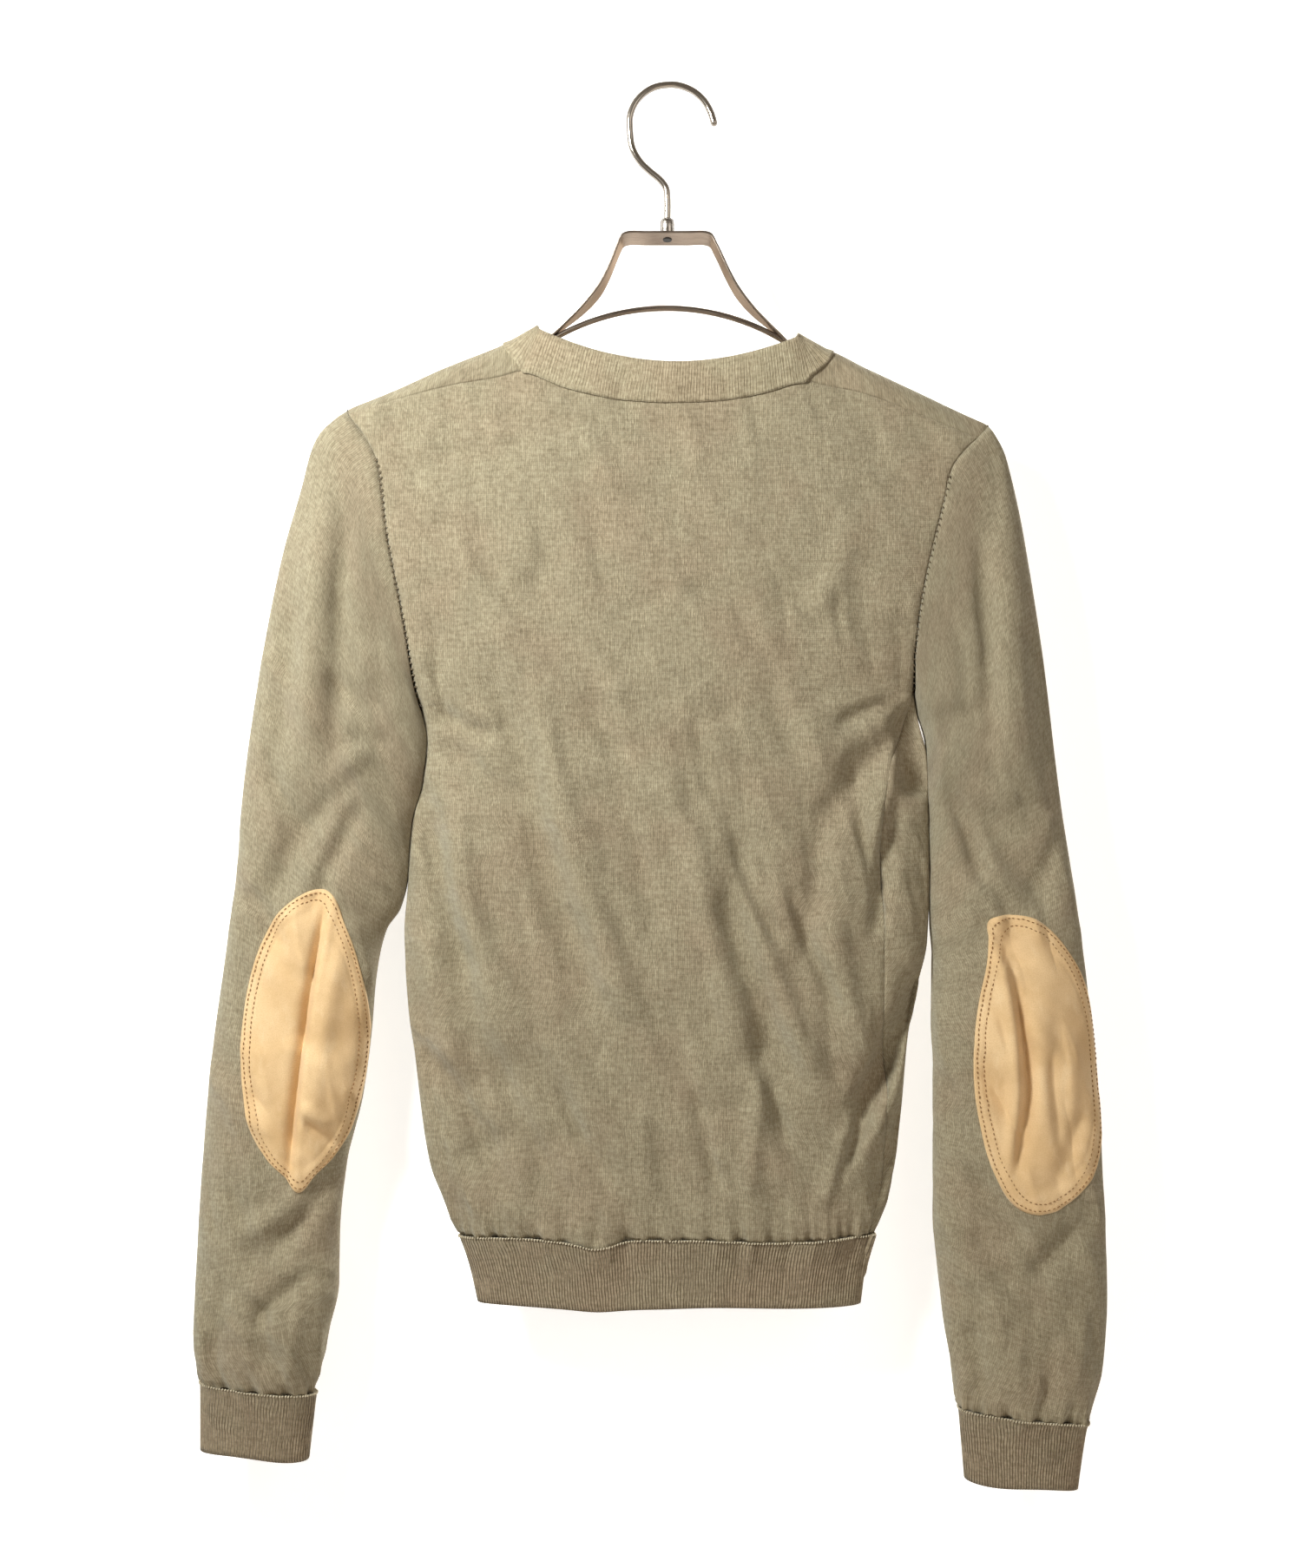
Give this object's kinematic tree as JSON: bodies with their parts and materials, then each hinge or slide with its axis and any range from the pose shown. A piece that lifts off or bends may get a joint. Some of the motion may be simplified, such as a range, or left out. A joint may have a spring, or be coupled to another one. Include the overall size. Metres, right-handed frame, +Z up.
{
  "type": "elbow-patched wool sweater on a metal hanger",
  "caption": "Fine-knit wool V-neck pullover with suede elbow patches and ribbed neck, hem and cuffs, hung on a bent-strap metal hanger.",
  "frame": {"origin": "inside of the hook's crown, where the hook rests on a rail", "axes": "+Z up; +X across the shoulders towards the wearer's right sleeve; the pullover's back faces -Y and its front +Y"},
  "size_m": [0.5466, 0.0562, 0.8416],
  "materials": {
    "wool": "heathered khaki fine jersey knit",
    "ribbing": "the same wool in fine rib",
    "suede": "pale tan suede, mottled",
    "metal": "brushed, warm grey"
  },
  "bodies": {
    "root": {"back": "wool", "front": "wool", "neckband": "ribbing", "hem_rib": "ribbing", "sleeve_left": "wool", "cuff_left": "ribbing", "patch_left": "suede", "sleeve_right": "wool", "cuff_right": "ribbing", "patch_right": "suede", "hanger_hook": "metal", "hanger_ferrule": "metal", "hanger_strap": "metal", "hanger_rod": "metal"}
  },
  "joints": []
}
